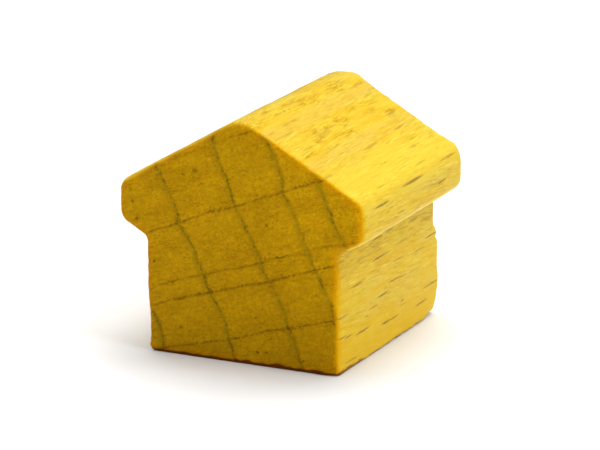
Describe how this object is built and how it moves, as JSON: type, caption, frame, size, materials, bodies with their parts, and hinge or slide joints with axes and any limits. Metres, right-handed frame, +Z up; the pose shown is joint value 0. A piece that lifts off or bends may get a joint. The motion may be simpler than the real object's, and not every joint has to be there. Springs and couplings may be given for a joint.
{
  "type": "house-shaped wooden game token",
  "caption": "Small solid wooden board game token in the outline of a gabled house with overhanging eaves, dyed yellow, standing on a flat base.",
  "frame": {"origin": "centre of the flat base that the token stands on", "axes": "+Z up from the base to the ridge; X across the gable, so it is the longest extent, eave to eave; the front gable faces -Y and the grain runs along Y"},
  "size_m": [0.0133, 0.0124, 0.0122],
  "materials": {
    "dyed_beech": "satin yellow dye on fine-grained beech, grain and rays showing through"
  },
  "bodies": {
    "root": {"house_token": "dyed_beech"}
  },
  "joints": []
}
